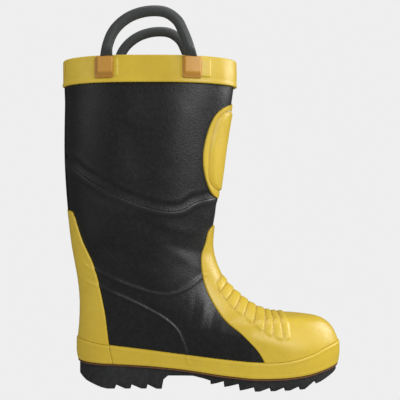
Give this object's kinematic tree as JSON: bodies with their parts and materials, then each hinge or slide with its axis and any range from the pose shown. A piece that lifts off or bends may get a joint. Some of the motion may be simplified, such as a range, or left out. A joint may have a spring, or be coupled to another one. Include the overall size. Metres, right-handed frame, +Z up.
{
  "type": "fire boot",
  "caption": "Tall rubber firefighting boot with pull loops, yellow collar, shin guard, ribbed instep and toe cover, foxing and cleated sole.",
  "frame": {"origin": "centre of the boot's outline on the floor, under the tread", "axes": "+X to the toe, +Y to the inner side of a right boot, +Z up the shaft"},
  "size_m": [0.322, 0.1238, 0.4229],
  "materials": {
    "black_rubber": "semi-gloss moulded rubber with soft wrinkles",
    "yellow_rubber": "satin moulded rubber",
    "orange_rubber": "satin moulded rubber",
    "handle_rubber": "matt extruded rubber",
    "handle_cord": "braided cord",
    "rust_trim": "matt rubber line",
    "sole_rubber": "matt moulded rubber",
    "foam": "open cell foam",
    "felt": "needled felt",
    "lining_textile": "knitted lining",
    "steel": "satin",
    "board": "pressed fibre",
    "stiffener": "matt",
    "tape": "woven tape",
    "footbed": "felted textile"
  },
  "bodies": {
    "boot": {"shaft_shell": "black_rubber", "foot_shell": "black_rubber", "back_stay": "black_rubber", "collar_band": "yellow_rubber", "collar_tape": "tape", "shaft_interlining": "felt", "foot_interlining": "felt", "shin_guard": "yellow_rubber", "shin_foam": "foam", "heel_strip": "yellow_rubber", "vamp_guard": "yellow_rubber", "foxing_band": "yellow_rubber", "heel_foxing": "yellow_rubber", "welt_line": "rust_trim", "outsole": "sole_rubber", "sole_filler": "foam", "steel_midsole": "steel", "insulation_felt": "felt", "insole_board": "board", "lining": "lining_textile", "steel_toe_cap": "steel", "toe_cap_edge": "foam", "heel_counter": "stiffener", "lateral_handle_roots": "handle_rubber", "lateral_rear_tab": "orange_rubber", "lateral_front_tab": "orange_rubber", "lateral_ankle_pad": "foam", "medial_handle_roots": "handle_rubber", "medial_rear_tab": "orange_rubber", "medial_front_tab": "orange_rubber", "medial_ankle_pad": "foam"},
    "lateral_handle": {"lateral_handle": "handle_rubber", "lateral_handle_core": "handle_cord"},
    "medial_handle": {"medial_handle": "handle_rubber", "medial_handle_core": "handle_cord"},
    "insole": {"insole": "footbed"}
  },
  "joints": [
    {"name": "lateral_handle_tilt", "type": "hinge", "parent": "boot", "child": "lateral_handle", "pos_m": [-0.058, -0.056, 0.3763], "axis": [1, 0, 0], "range_deg": [-40, 70], "stiffness_Nm_per_rad": 0.15},
    {"name": "medial_handle_tilt", "type": "hinge", "parent": "boot", "child": "medial_handle", "pos_m": [-0.058, 0.056, 0.3763], "axis": [-1, 0, 0], "range_deg": [-40, 70], "stiffness_Nm_per_rad": 0.15},
    {"name": "insole_lift", "type": "hinge", "parent": "boot", "child": "insole", "pos_m": [0.146, 0.003, 0.028], "axis": [0, 1, 0], "range_deg": [0, 8]}
  ]
}
